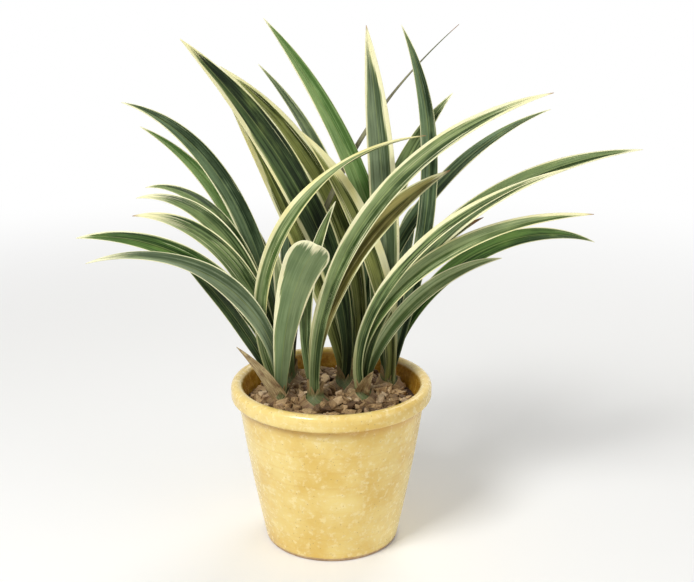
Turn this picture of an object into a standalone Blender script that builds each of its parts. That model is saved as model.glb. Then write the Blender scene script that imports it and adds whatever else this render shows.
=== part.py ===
"""A potted cymbidium orchid with cream-edged leaves: a round glazed pot, the bark mix in it, the rooted
pseudobulbs of one clump, and the fans of strap leaves that grow out of them.

Metres, +Z up. The origin is the centre of the pot's flat foot, and the plant's front looks along -Y.
"""
import math
from collections import namedtuple

import bmesh
import bpy
from mathutils import Vector

# ---------------------------------------------------------------- pot
POT_HEIGHT = 0.150
RIM_RADIUS = 0.090          # outside of the rolled rim
RIM_WIDTH = 0.0105          # across the rolled rim
RIM_DEPTH = 0.016           # from the top of the rim to its lower edge
RIM_ROLL_STEPS = 8
NECK_RADIUS = 0.0835        # outside of the wall just under the rim
WALL = 0.0065
FOOT_RADIUS = 0.061
FOOT_CHAMFER = 0.002
BASE_THICKNESS = 0.008
BASE_FILLET = 0.006
DRAIN_HOLES = 4
DRAIN_HOLE_RADIUS = 0.006
DRAIN_CIRCLE_RADIUS = 0.036
TURN_STEPS = 48             # facets round the pot and the mix

# ---------------------------------------------------------------- mix, pseudobulbs and roots
GAP = 0.0003                # clearance between pieces that touch
MIX_LEVEL = POT_HEIGHT - 0.017      # where the mix meets the wall
MIX_CROWN = 0.006           # how far the middle of the mix stands above its edge
BULB_RADIUS = 0.0135
BULB_HALF_HEIGHT = 0.0165
BULB_SINK = 0.007           # the bulb's middle is this far under the mix beside it
BULB_SEGMENTS = 16
BULB_RINGS = 8
ROOT_RADIUS = 0.0024
ROOT_LENGTH = 0.056
ROOT_START = 0.0045         # from the bulb's axis
ROOT_POINTS = 6
ROOT_DIPS = (86, 66)        # a root's slope below the horizon where it leaves the bulb and at its end

# ---------------------------------------------------------------- leaves
LEAF_PITCH = 0.0027         # between neighbouring leaf bases along a fan
LEAF_THICKNESS = 0.0010
SEAT_STEPS = 4
LEAF_SEAT = 0.0003          # from a pseudobulb to the foot of a leaf
LEAF_STATIONS = 12
BLUNT_STATIONS = 18
SHEATH_STATIONS = 6
STATION_BIAS = 1.25         # above 1, the stations lie closer together towards the tip
PATH_STEPS = 8              # integration steps between two stations
FOOT_WIDTH = 0.0085
FULL_WIDTH_AT = 0.48        # share of the length at which a blade reaches its full width
BLUNT_SHARE = 0.20          # share of a blunt leaf's length that its round end takes
FOLD = math.tan(math.radians(16))   # how far the two halves of a blade fold up along the midrib
FOLD_GROWS_BY = 0.25        # share of the length over which the fold opens from a flat foot
TIP_WIDTH = 0.0016          # a pointed leaf ends this wide
UP = Vector((0, 0, 1))

# lean: degrees from upright at the foot and at the tip, towards the bearing `way` (0 is right, 90 is away
# from the front). droop: above 1, the leaf bends mostly near its tip. roll: how far the upper face has
# turned from the fan's front to the sky at the tip. twist: degrees that the blade turns about its midrib
# along its length. side: -1 where the upper face looks to the back of the fan. end: a "blunt" leaf widens
# all the way to its round end, towards `width` at the tip.
Leaf = namedtuple("Leaf", "way lean_foot lean_tip length width droop roll twist side end")
Growth = namedtuple("Growth", "name x y fan roots leaves")


def leaf(way, lean_foot, lean_tip, length, width, droop=1.3, roll=0.5, twist=0, side=1, end="point"):
    return Leaf(way, lean_foot, lean_tip, length, width, droop, roll, twist, side, end)


def sheath(way, lean_foot, lean_tip, length, width=0.013):
    return Leaf(way, lean_foot, lean_tip, length, width, 1.0, 0.0, 0, 1, "sheath")


# Each fan lists its leaves from the front one to the back one.
GROWTHS = [
    Growth("left", -0.0455, -0.016, 95, (120, 350), [
        sheath(200, 26, 46, 0.066),
        leaf(-61, 4, 50, 0.172, 0.041, 1.2, 0.05, 0, -1, "blunt"),
        leaf(200, -2, 100, 0.238, 0.018, 0.95, 0.9),
        leaf(5, -28, 84, 0.300, 0.0135, 0.95, 1.0),
        leaf(186, 28, 48, 0.150, 0.012, 2.0, 0.1),
        leaf(181, 5, 97, 0.245, 0.018, 1.0),
        leaf(173, 7, 96, 0.222, 0.017, 1.7),
        leaf(165, 9, 104, 0.238, 0.016, 2.2),
        leaf(156, 9, 104, 0.246, 0.014, 2.3),
    ]),
    Growth("left_back", -0.038, 0.024, 95, (80, 300), [
        leaf(186, 4, 8, 0.125, 0.013),
        leaf(178, 12, 75, 0.300, 0.018, 2.5),
        leaf(170, 14, 64, 0.268, 0.014, 2.0),
        leaf(4, 2, 49, 0.355, 0.005, 1.0, 1.0),
        leaf(126, 9, 80, 0.200, 0.014, 1.4),
        leaf(92, 14, 82, 0.205, 0.018, twist=-25),
    ]),
    Growth("centre_front", -0.014, -0.030, 85, (180, 20), [
        leaf(-8, -3, 75, 0.352, 0.016, 1.0, 0.4),
        leaf(0, -6, 62, 0.240, 0.021, 0.9, 0.4),
        leaf(1, -15, 27, 0.175, 0.011, 1.0, 0.1),
    ]),
    Growth("centre", 0.012, 0.006, 90, (60, 330), [
        leaf(186, -14, 45, 0.340, 0.027, 0.55),
        leaf(182, 8, 28, 0.285, 0.016, 0.5),
        leaf(112, 8, 66, 0.230, 0.018),
    ]),
    Growth("back", 0.024, 0.044, 90, (215, 290), [
        leaf(182, -10, 53, 0.318, 0.019, 0.9),
        leaf(176, -4, 43, 0.300, 0.013, 1.2),
        leaf(8, 10, 72, 0.310, 0.0125, 1.3),
        leaf(120, 8, 66, 0.240, 0.020, twist=25),
        leaf(70, 12, 74, 0.225, 0.021, twist=-20),
    ]),
    Growth("right_front", 0.027, -0.020, 85, (190, 250), [
        sheath(-72, 34, 52, 0.042),
        leaf(-15, -32, 72, 0.292, 0.011, 0.45, 0.8),
        leaf(-10, -34, 86, 0.280, 0.0145, 0.45, 0.6),
        leaf(-2, 0, 85, 0.342, 0.0165, 0.8),
        leaf(2, -4, 64, 0.195, 0.013, 0.8),
        leaf(12, 13, 84, 0.180, 0.0135, 1.0, 0.5),
    ]),
    Growth("right_back", 0.052, 0.016, 90, (230, 290), [
        leaf(190, -8, 40, 0.252, 0.020, 0.8),
        leaf(183, 0, 8, 0.316, 0.024, 1.0),
        leaf(179, -7, 39, 0.345, 0.018, 0.8),
        leaf(4, 15, -26, 0.320, 0.015, 2.0, 0.1),
        leaf(8, -11, 44, 0.272, 0.019, 1.4, 0.1),
        leaf(18, 7, 112, 0.270, 0.0165, 0.9),
        leaf(75, 14, 80, 0.195, 0.018),
        sheath(85, 26, 38, 0.056),
    ]),
]


def bearing(degrees):
    angle = math.radians(degrees)
    return Vector((math.cos(angle), math.sin(angle), 0))


def smooth_step(share):
    share = min(max(share, 0.0), 1.0)
    return share * share * (3 - 2 * share)


# ---------------------------------------------------------------- tools
def principled(name, colour, roughness, metallic=0.0):
    material = bpy.data.materials.new(name)
    material.use_nodes = True
    shader = material.node_tree.nodes["Principled BSDF"]
    shader.inputs["Base Color"].default_value = (*colour, 1)
    shader.inputs["Roughness"].default_value = roughness
    shader.inputs["Metallic"].default_value = metallic
    material.diffuse_color = (*colour, 1)
    return material


def add_object(name, mesh, collection, material=None):
    obj = bpy.data.objects.new(name, mesh)
    collection.objects.link(obj)
    if material:
        mesh.materials.append(material)
    return obj


def evaluated_mesh(obj):
    bpy.context.view_layer.update()
    graph = bpy.context.evaluated_depsgraph_get()
    return bpy.data.meshes.new_from_object(obj.evaluated_get(graph))


def boolean(obj, operation, other):
    modifier = obj.modifiers.new(f"{operation.lower()} {other.name}", "BOOLEAN")
    modifier.operation = operation
    modifier.solver = "EXACT"
    modifier.object = other


def turned(name, profile, collection, material=None):
    """A body turned about Z from (radius, height) points, which run down its outer side."""
    mesh = bpy.data.meshes.new(name)
    mesh.from_pydata([(r, 0, z) for r, z in profile], [(i, i + 1) for i in range(len(profile) - 1)], [])
    obj = add_object(name, mesh, collection, material)
    screw = obj.modifiers.new("turn", "SCREW")
    screw.axis = "Z"
    screw.steps = screw.render_steps = TURN_STEPS
    screw.use_merge_vertices = True
    screw.merge_threshold = 0.00001
    return obj


# ---------------------------------------------------------------- pot and mix
def inner_radius(z):
    """Radius of the pot's inside at height z, above the fillet at its base."""
    share = z / (POT_HEIGHT - RIM_DEPTH)
    return FOOT_RADIUS + (NECK_RADIUS - FOOT_RADIUS) * min(share, 1) - WALL


def rim_profile():
    """The rolled rim, from its inner lower edge over the top to its outer lower edge."""
    middle = RIM_RADIUS - RIM_WIDTH / 2
    top_radius = RIM_WIDTH / 2
    points = []
    for step in range(RIM_ROLL_STEPS + 1):
        angle = math.pi * (1 - step / RIM_ROLL_STEPS)
        points.append((middle + top_radius * math.cos(angle), POT_HEIGHT - top_radius * (1 - math.sin(angle))))
    low = POT_HEIGHT - RIM_DEPTH
    points.append((RIM_RADIUS, low + 0.003))
    points.append((RIM_RADIUS - 0.0015, low + 0.0008))
    return points


def pot_profile():
    low = POT_HEIGHT - RIM_DEPTH
    floor = BASE_THICKNESS
    wall_foot = inner_radius(floor + BASE_FILLET)
    inside = [
        (0, floor),
        (wall_foot - BASE_FILLET, floor),
        (wall_foot - BASE_FILLET * 0.3, floor + BASE_FILLET * 0.3),
        (wall_foot, floor + BASE_FILLET),
        (inner_radius(low), low),
    ]
    outside = [
        (NECK_RADIUS, low),
        (FOOT_RADIUS, FOOT_CHAMFER * 1.5),
        (FOOT_RADIUS - FOOT_CHAMFER, 0),
        (0, 0),
    ]
    return inside + rim_profile() + outside


def build_pot(collection, cutters, material):
    pot = turned("pot", pot_profile(), collection, material)
    mesh = bpy.data.meshes.new("drain_hole_cutter")
    holes = bmesh.new()
    for hole in range(DRAIN_HOLES):
        place = bearing(45 + 360 * hole / DRAIN_HOLES) * DRAIN_CIRCLE_RADIUS
        made = bmesh.ops.create_cone(holes, cap_ends=True, segments=16, radius1=DRAIN_HOLE_RADIUS,
                                     radius2=DRAIN_HOLE_RADIUS, depth=4 * BASE_THICKNESS)
        bmesh.ops.translate(holes, verts=made["verts"], vec=place)
    holes.to_mesh(mesh)
    holes.free()
    boolean(pot, "DIFFERENCE", add_object("drain_hole_cutter", mesh, cutters))
    return pot


def mix_height(radius):
    """Height of the mix's surface at this distance from the pot's axis."""
    edge = inner_radius(MIX_LEVEL)
    return MIX_LEVEL + MIX_CROWN * (1 - (radius / edge) ** 2)


def mix_profile():
    floor = BASE_THICKNESS + GAP
    wall_foot = inner_radius(BASE_THICKNESS + BASE_FILLET) - GAP
    edge = inner_radius(MIX_LEVEL) - GAP
    top = [(edge * share, mix_height(edge * share)) for share in (0, 0.35, 0.7, 1)]
    bottom = [
        (wall_foot, BASE_THICKNESS + BASE_FILLET),
        (wall_foot - BASE_FILLET * 0.3, floor + BASE_FILLET * 0.3),
        (wall_foot - BASE_FILLET, floor),
        (0, floor),
    ]
    return top + bottom


# ---------------------------------------------------------------- pseudobulbs
def bulb_centre(growth):
    radius = math.hypot(growth.x, growth.y)
    return Vector((growth.x, growth.y, mix_height(radius) - BULB_SINK))


def root_curve(name, growth, way, margin, collection):
    """One fleshy root as a mesh, in the bulb's own frame."""
    curve = bpy.data.curves.new(name, "CURVE")
    curve.dimensions = "3D"
    curve.bevel_depth = ROOT_RADIUS + margin
    curve.bevel_resolution = 2
    curve.use_fill_caps = True
    spline = curve.splines.new("POLY")
    spline.points.add(ROOT_POINTS - 1)
    step = (ROOT_LENGTH + margin) / (ROOT_POINTS - 1)
    point = bearing(way) * ROOT_START - UP * (BULB_HALF_HEIGHT / 2)
    for index in range(ROOT_POINTS):
        spline.points[index].co = (*point, 1)
        share = index / (ROOT_POINTS - 1)
        dip = math.radians(ROOT_DIPS[0] + (ROOT_DIPS[1] - ROOT_DIPS[0]) * share)
        point = point + (bearing(way) * math.cos(dip) - UP * math.sin(dip)) * step
    drawn = add_object(name, curve, collection)
    mesh = evaluated_mesh(drawn)
    bpy.data.objects.remove(drawn)
    weld = bmesh.new()
    weld.from_mesh(mesh)
    bmesh.ops.remove_doubles(weld, verts=weld.verts, dist=0.00001)
    weld.to_mesh(mesh)
    weld.free()
    return mesh


def rooted_bulb(name, growth, margin, collection, cutters, material=None):
    """A pseudobulb with its roots. `margin` makes it that much bigger all round."""
    mesh = bpy.data.meshes.new(name)
    shape = bmesh.new()
    bmesh.ops.create_uvsphere(shape, u_segments=BULB_SEGMENTS, v_segments=BULB_RINGS, radius=1)
    radius = BULB_RADIUS + margin
    bmesh.ops.scale(shape, verts=shape.verts, vec=(radius, radius, BULB_HALF_HEIGHT + margin))
    shape.to_mesh(mesh)
    shape.free()
    bulb = add_object(name, mesh, collection, material)
    bulb.location = bulb_centre(growth)
    for number, way in enumerate(growth.roots, 1):
        root_name = f"{name}_root_{number}"
        root = add_object(root_name, root_curve(root_name, growth, way, margin, cutters), cutters)
        root.location = bulb.location
        boolean(bulb, "UNION", root)
    return bulb


def build_mix(collection, cutters, material):
    mix = turned("potting_mix", mix_profile(), collection, material)
    for growth in GROWTHS:
        pocket = rooted_bulb(f"{growth.name}_pocket_cutter", growth, GAP, cutters, cutters)
        boolean(mix, "DIFFERENCE", pocket)
    return mix


# ---------------------------------------------------------------- leaves
def blade_width(spec, share):
    """Width of the blade at this share of its length."""
    if spec.end == "sheath":
        return TIP_WIDTH + (spec.width - TIP_WIDTH) * (1 - share ** 1.6)
    if spec.end == "blunt":
        past = max(0.0, (share - 1 + BLUNT_SHARE) / BLUNT_SHARE)
        grown = FOOT_WIDTH + (spec.width - FOOT_WIDTH) * share
        return max(TIP_WIDTH, grown * math.sqrt(max(0.0, 1 - past * past)))
    grown = FOOT_WIDTH + (spec.width - FOOT_WIDTH) * smooth_step(share / FULL_WIDTH_AT)
    past = max(0.0, (share - FULL_WIDTH_AT) / (1 - FULL_WIDTH_AT))
    return TIP_WIDTH + (grown - TIP_WIDTH) * (1 - past ** 2.8)


def tangent_at(spec, share):
    lean = math.radians(spec.lean_foot + (spec.lean_tip - spec.lean_foot) * share ** spec.droop)
    return bearing(spec.way) * math.sin(lean) + UP * math.cos(lean)


def blade_axes(spec, front, share):
    """Unit vectors across the blade and out of its upper face."""
    tangent = tangent_at(spec, share)
    rise = math.radians(90 * spec.roll) * smooth_step(share)
    facing = front * (spec.side * math.cos(rise)) + UP * math.sin(rise)
    normal = (facing - tangent * facing.dot(tangent)).normalized()
    across = tangent.cross(normal)
    turn = math.radians(spec.twist) * share
    return (across * math.cos(turn) + normal * math.sin(turn),
            normal * math.cos(turn) - across * math.sin(turn))


def midrib(spec, shares):
    """The midrib's points at these shares of its length, from the leaf's foot at the origin."""
    points = [Vector((0, 0, 0))]
    for start, end in zip(shares, shares[1:]):
        step = (end - start) / PATH_STEPS
        point = points[-1].copy()
        for part in range(PATH_STEPS):
            point += tangent_at(spec, start + (part + 0.5) * step) * (step * spec.length)
        points.append(point)
    return points


def build_blade(name, spec, front, foot, collection, material):
    counts = {"blunt": BLUNT_STATIONS, "sheath": SHEATH_STATIONS, "point": LEAF_STATIONS}
    count = counts[spec.end]
    shares = [1 - (1 - index / count) ** STATION_BIAS for index in range(count + 1)]
    mesh = bpy.data.meshes.new(name)
    blade = bmesh.new()
    bmesh.ops.create_grid(blade, x_segments=2, y_segments=count, size=1)
    rows = sorted(blade.verts, key=lambda vert: (round(vert.co.y, 4), vert.co.x))
    for index, (share, point) in enumerate(zip(shares, midrib(spec, shares))):
        across, up = blade_axes(spec, front, share)
        half = blade_width(spec, share) / 2
        fold = FOLD * smooth_step(share / FOLD_GROWS_BY)
        for side, vert in zip((-1, 0, 1), rows[3 * index:3 * index + 3]):
            vert.co = point + across * (side * half) + up * (abs(side) * half * fold)
    blade.to_mesh(mesh)
    blade.free()
    obj = add_object(name, mesh, collection, material)
    obj.location = foot
    thick = obj.modifiers.new("thickness", "SOLIDIFY")
    thick.thickness = LEAF_THICKNESS
    thick.offset = 0
    obj.data.shade_smooth()
    return obj


def foot_of(growth, place, spec):
    """Where a leaf stands on its pseudobulb, `place` metres from the bulb's middle along the fan."""
    nearest = max(0.0, abs(place) - LEAF_THICKNESS / 2)
    tilt = math.radians(abs(spec.lean_foot)) * abs(math.sin(math.radians(spec.way - growth.fan)))
    height = 0.0
    for step in range(SEAT_STEPS + 1):
        along = FOOT_WIDTH / 2 * step / SEAT_STEPS
        reach = math.hypot(nearest, along * math.cos(tilt)) / BULB_RADIUS
        bulb_top = BULB_HALF_HEIGHT * math.sqrt(max(0.0, 1 - reach ** 2))
        height = max(height, bulb_top + along * math.sin(tilt))
    return bulb_centre(growth) + bearing(growth.fan) * place + UP * (height + LEAF_SEAT)


def build_fan(growth, collection, leaf_material, sheath_material):
    leaf_count = 0
    for index, spec in enumerate(growth.leaves):
        place = (index - (len(growth.leaves) - 1) / 2) * LEAF_PITCH
        foot = foot_of(growth, place, spec)
        front = -bearing(growth.fan)
        if spec.end == "sheath":
            build_blade(f"{growth.name}_sheath", spec, front, foot, collection, sheath_material)
        else:
            leaf_count += 1
            build_blade(f"{growth.name}_leaf_{leaf_count}", spec, front, foot, collection, leaf_material)


# ---------------------------------------------------------------- the object
def clear_scene():
    for obj in list(bpy.data.objects):
        bpy.data.objects.remove(obj)


def main():
    clear_scene()
    scene = bpy.context.scene
    plant = bpy.data.collections.new("potted_cymbidium_orchid")
    cutters = bpy.data.collections.new("cutters")
    scene.collection.children.link(plant)
    scene.collection.children.link(cutters)
    glaze = principled("yellow_glaze", (0.80, 0.62, 0.20), 0.22)
    bark = principled("orchid_bark", (0.20, 0.10, 0.05), 0.9)
    bulb_skin = principled("pseudobulb", (0.16, 0.20, 0.07), 0.55)
    blade_green = principled("leaf_green", (0.10, 0.19, 0.07), 0.4)
    dry_sheath = principled("dry_sheath", (0.42, 0.30, 0.16), 0.75)
    build_pot(plant, cutters, glaze)
    build_mix(plant, cutters, bark)
    for growth in GROWTHS:
        rooted_bulb(f"{growth.name}_pseudobulb", growth, 0.0, plant, cutters, bulb_skin)
        build_fan(growth, plant, blade_green, dry_sheath)
    cutters.hide_render = True
    for helper in cutters.objects:
        helper.hide_render = True
        helper.display_type = "WIRE"


main()
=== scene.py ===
"""The looks of a potted cymbidium orchid with cream-edged leaves.

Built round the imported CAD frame, in metres, +Z up. The plant's front looks along -Y. Each CAD node gets a
fine mesh in its place and size. Loose bark and grit and old leaf bases are added.
"""
import math
import random
from collections import namedtuple

import bmesh
import bpy
from mathutils import Euler, Matrix, Vector, noise


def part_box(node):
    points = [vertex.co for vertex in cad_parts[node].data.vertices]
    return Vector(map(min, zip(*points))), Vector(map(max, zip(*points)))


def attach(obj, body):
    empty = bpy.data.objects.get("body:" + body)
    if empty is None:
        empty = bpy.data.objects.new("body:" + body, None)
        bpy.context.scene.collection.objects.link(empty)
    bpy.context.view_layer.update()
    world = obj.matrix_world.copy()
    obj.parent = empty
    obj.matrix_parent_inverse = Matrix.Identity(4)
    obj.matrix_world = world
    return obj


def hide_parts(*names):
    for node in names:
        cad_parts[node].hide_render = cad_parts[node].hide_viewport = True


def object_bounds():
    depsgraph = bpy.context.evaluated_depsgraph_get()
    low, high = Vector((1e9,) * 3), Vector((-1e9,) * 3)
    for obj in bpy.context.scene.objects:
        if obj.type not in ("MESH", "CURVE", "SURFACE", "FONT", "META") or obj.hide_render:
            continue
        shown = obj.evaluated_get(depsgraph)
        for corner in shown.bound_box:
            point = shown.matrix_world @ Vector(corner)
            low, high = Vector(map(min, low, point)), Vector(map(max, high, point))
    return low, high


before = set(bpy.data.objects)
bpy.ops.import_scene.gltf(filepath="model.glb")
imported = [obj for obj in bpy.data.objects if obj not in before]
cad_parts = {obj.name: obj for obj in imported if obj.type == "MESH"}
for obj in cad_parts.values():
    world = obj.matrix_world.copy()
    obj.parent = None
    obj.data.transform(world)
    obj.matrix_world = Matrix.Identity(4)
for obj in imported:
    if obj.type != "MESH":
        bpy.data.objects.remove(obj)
CAD_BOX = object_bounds()
UP = Vector((0, 0, 1))

# ---- the plant, as the CAD holds it
POT_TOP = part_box("pot")[1]
POT_HEIGHT = POT_TOP.z
RIM_RADIUS = POT_TOP.x
RIM_WIDTH = 0.0105
RIM_DEPTH = 0.016
NECK_RADIUS = 0.0835
WALL = 0.0065
FOOT_RADIUS = 0.061
BASE_THICKNESS = 0.008
BASE_FILLET = 0.006
DRAIN_HOLES = 4
DRAIN_HOLE_RADIUS = 0.006
DRAIN_CIRCLE_RADIUS = 0.036
MIX_LEVEL = POT_HEIGHT - 0.017
MIX_CROWN = 0.006
BULB_RADIUS = 0.0135
BULB_HALF_HEIGHT = 0.0165
BULB_SINK = 0.007
ROOT_RADIUS = 0.0024
ROOT_LENGTH = 0.056
ROOT_START = 0.0045
ROOT_DIPS = (86, 66)
LEAF_PITCH = 0.0027
LEAF_THICKNESS = 0.001
GAP = 0.0003  # between parts that lie against each other
SEAT_STEPS = 4
FOOT_WIDTH = 0.0085
FULL_WIDTH_AT = 0.48
BLUNT_SHARE = 0.2
FOLD = math.tan(math.radians(16))
FOLD_GROWS_BY = 0.25

# lean: degrees from upright at the foot and at the tip, towards the bearing `way` (0 is right, 90 is away
# from the front). droop: above 1, the leaf bends mostly near its tip. roll: how far the upper face has
# turned from the fan's front to the sky at the tip. twist: degrees about the midrib along the length.
# side: -1 where the upper face looks to the back of the fan.
Leaf = namedtuple("Leaf", "way lean_foot lean_tip length width droop roll twist side end",
                  defaults=(1.3, 0.5, 0, 1, "point"))
Growth = namedtuple("Growth", "name x y fan roots leaves")


def sheath(way, lean_foot, lean_tip, length, width=0.013):
    return Leaf(way, lean_foot, lean_tip, length, width, 1, 0, end="sheath")


GROWTHS = [
    Growth("left", -0.0455, -0.016, 95, (120, 350), [
        sheath(200, 26, 46, 0.066),
        Leaf(-61, 4, 50, 0.172, 0.041, 1.2, 0.05, 0, -1, "blunt"),
        Leaf(200, -2, 100, 0.238, 0.018, 0.95, 0.9),
        Leaf(5, -28, 84, 0.3, 0.0135, 0.95, 1),
        Leaf(186, 28, 48, 0.15, 0.012, 2, 0.1),
        Leaf(181, 5, 97, 0.245, 0.018, 1),
        Leaf(173, 7, 96, 0.222, 0.017, 1.7),
        Leaf(165, 9, 104, 0.238, 0.016, 2.2),
        Leaf(156, 9, 104, 0.246, 0.014, 2.3),
    ]),
    Growth("left_back", -0.038, 0.024, 95, (80, 300), [
        Leaf(186, 4, 8, 0.125, 0.013),
        Leaf(178, 12, 75, 0.3, 0.018, 2.5),
        Leaf(170, 14, 64, 0.268, 0.014, 2),
        Leaf(4, 2, 49, 0.355, 0.005, 1, 1),
        Leaf(126, 9, 80, 0.2, 0.014, 1.4),
        Leaf(92, 14, 82, 0.205, 0.018, twist=-25),
    ]),
    Growth("centre_front", -0.014, -0.03, 85, (180, 20), [
        Leaf(-8, -3, 75, 0.352, 0.016, 1, 0.4),
        Leaf(0, -6, 62, 0.24, 0.021, 0.9, 0.4),
        Leaf(1, -15, 27, 0.175, 0.011, 1, 0.1),
    ]),
    Growth("centre", 0.012, 0.006, 90, (60, 330), [
        Leaf(186, -14, 45, 0.34, 0.027, 0.55),
        Leaf(182, 8, 28, 0.285, 0.016, 0.5),
        Leaf(112, 8, 66, 0.23, 0.018),
    ]),
    Growth("back", 0.024, 0.044, 90, (215, 290), [
        Leaf(182, -10, 53, 0.318, 0.019, 0.9),
        Leaf(176, -4, 43, 0.3, 0.013, 1.2),
        Leaf(8, 10, 72, 0.31, 0.0125, 1.3),
        Leaf(120, 8, 66, 0.24, 0.02, twist=25),
        Leaf(70, 12, 74, 0.225, 0.021, twist=-20),
    ]),
    Growth("right_front", 0.027, -0.02, 85, (190, 250), [
        sheath(-72, 34, 52, 0.042),
        Leaf(-15, -32, 72, 0.292, 0.011, 0.45, 0.8),
        Leaf(-10, -34, 86, 0.28, 0.0145, 0.45, 0.6),
        Leaf(-2, 0, 85, 0.342, 0.0165, 0.8),
        Leaf(2, -4, 64, 0.195, 0.013, 0.8),
        Leaf(12, 13, 84, 0.18, 0.0135, 1, 0.5),
    ]),
    Growth("right_back", 0.052, 0.016, 90, (230, 290), [
        Leaf(190, -8, 40, 0.252, 0.02, 0.8),
        Leaf(183, 0, 8, 0.316, 0.024, 1),
        Leaf(179, -7, 39, 0.345, 0.018, 0.8),
        Leaf(4, 15, -26, 0.32, 0.015, 2, 0.1),
        Leaf(8, -11, 44, 0.272, 0.019, 1.4, 0.1),
        Leaf(18, 7, 112, 0.27, 0.0165, 0.9),
        Leaf(75, 14, 80, 0.195, 0.018),
        sheath(85, 26, 38, 0.056),
    ]),
]

# ---- how each leaf is coloured, in the order of its growth's leaves; sheaths have no style
# green: a name in GREENS. left, right: cream margins in millimetres, looking from the foot to the tip at the
# upper face. streaks: how many cream streaks run inside the margins, 0 to 1. line: strength of a pale
# midline. cream_end, dry_end: millimetres at the tip that are cream, and dry and brown. yellow: how far the
# cream goes towards yellow. specks: brown flecks on the margins. foot_margin: the margins' share of their
# full width at the foot.
Style = namedtuple("Style", "green left right streaks line cream_end dry_end yellow specks foot_margin",
                   defaults=(0, 0.3, 0, 0.15))

STYLES = {
    "left": [
        Style("grey", 1.6, 3.2, 0.3, 0.3, 9),
        Style("slate", 0.8, 0.9, 0.5, 0.35, 24, 0, 0.2),
        Style("fresh", 2.6, 1.4, 0.6, 0.1, 26, 3, 0.8, foot_margin=0.6),
        Style("deep", 0.4, 0.5, 0.1, 0.1, 4),
        Style("forest", 0.6, 1.4, 0.45, 0.2, 8, 0, 0.2),
        Style("mid", 0.9, 1, 0.9, 0.2, 30, 2, 0.4),
        Style("mid", 0.8, 0.9, 0.65, 0.2, 24),
        Style("mid", 0.5, 0.6, 0.35, 0.2, 6),
    ],
    "left_back": [
        Style("pale", 1.2, 1.5, 0.7, 0.2, 16, 2),
        Style("blue", 1.4, 0.4, 0.2, 0.1, 6),
        Style("bright", 0.6, 0.7, 0.45, 0.2, 6, 0, 0.6),
        Style("dry", 0, 0, 0, 0, 0, 8),
        Style("mid", 0.8, 0.8, 0.4, 0.2, 8),
        Style("blue", 0.8, 0.9, 0.35, 0.2, 8, 3),
    ],
    "centre_front": [
        Style("soft", 2.3, 1.6, 0.9, 0.4, 30, 2, 0.4),
        Style("tan", 2.4, 1, 0.8, 0.2, 12, 3, 0.6),
        Style("mid", 0.6, 0.7, 0.3, 0.2, 6),
    ],
    "centre": [
        Style("deep", 3.6, 1.2, 0.3, 0.2, 14, 0, 0.6),
        Style("olive", 4.2, 0.8, 0.8, 0.2, 12, 2, 0.8),
        Style("mid", 0.9, 0.8, 0.35, 0.2, 8),
    ],
    "back": [
        Style("olive", 2.6, 3.2, 1, 0.4, 18, 0, 0.5),
        Style("slate", 0.5, 0.6, 0.35, 0.2, 6),
        Style("blue", 0.5, 0.6, 0.3, 0.3, 6),
        Style("mid", 0.9, 1.1, 0.4, 0.2, 10, 2),
        Style("blue", 0.9, 0.9, 0.35, 0.2, 8),
    ],
    "right_front": [
        Style("mid", 3, 0.8, 0.5, 0.2, 24, 0, 0.45, foot_margin=0.85),
        Style("fresh", 2, 0.8, 0.6, 0.3, 14, 2, 0.6),
        Style("mid", 0.9, 1.8, 0.5, 0.3, 10, 0, 0.35),
        Style("olive", 0.9, 0.9, 0.8, 0.2, 6, 12, 0.4),
        Style("pale", 0.8, 0.8, 0.5, 0.3, 8),
    ],
    "right_back": [
        Style("olive", 1.2, 5.6, 0.9, 0, 16, 0, 0.7, 0.2),
        Style("slate", 2.4, 4.2, 0.5, 0.2, 20, 1, 0.35, 1),
        Style("bright", 1, 0.4, 0.12, 0.2, 5),
        Style("blue", 0.4, 0.5, 0.3, 0.3, 5),
        Style("mid", 0.6, 1.2, 0.35, 0.2, 6),
        Style("forest", 0.6, 0.5, 0.2, 0.2, 6),
        Style("blue", 0.8, 0.9, 0.4, 0.2, 10, 2),
    ],
}

# The shaded and the lit tone of each green, as display values.
GREENS = {
    "deep": ((16, 28, 8), (74, 94, 54)),
    "blue": ((26, 44, 18), (110, 132, 96)),
    "slate": ((68, 84, 54), (134, 150, 116)),
    "bright": ((70, 102, 44), (140, 168, 106)),
    "fresh": ((60, 84, 30), (152, 168, 116)),
    "mid": ((32, 52, 12), (126, 146, 94)),
    "soft": ((42, 62, 18), (142, 160, 106)),
    "forest": ((26, 50, 8), (92, 124, 58)),
    "tan": ((92, 88, 38), (190, 178, 108)),
    "olive": ((44, 54, 14), (148, 154, 84)),
    "grey": ((86, 108, 70), (150, 168, 124)),
    "pale": ((98, 122, 70), (174, 188, 138)),
    "dry": ((88, 84, 62), (146, 142, 114)),
}
CREAM = (250, 248, 212)
CREAM_YELLOW = (234, 222, 134)
HALO = (150, 162, 98)
UNDERSIDE = (126, 144, 100)
YELLOW_GREEN = (154, 166, 86)
TIP_BROWN = (164, 122, 84)


def bearing(degrees):
    angle = math.radians(degrees)
    return Vector((math.cos(angle), math.sin(angle), 0))


def smooth_step(share):
    share = min(max(share, 0), 1)
    return share * share * (3 - 2 * share)


def linear(colour):
    """The scene-linear colour of a display colour with values up to 255."""
    values = [channel / 255 for channel in colour]
    return (*[v / 12.92 if v <= 0.04045 else ((v + 0.055) / 1.055) ** 2.4 for v in values], 1)


# ---- material tools
def arithmetic(operation):
    return lambda self, other: self.tree.math(operation, self, other)


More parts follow.
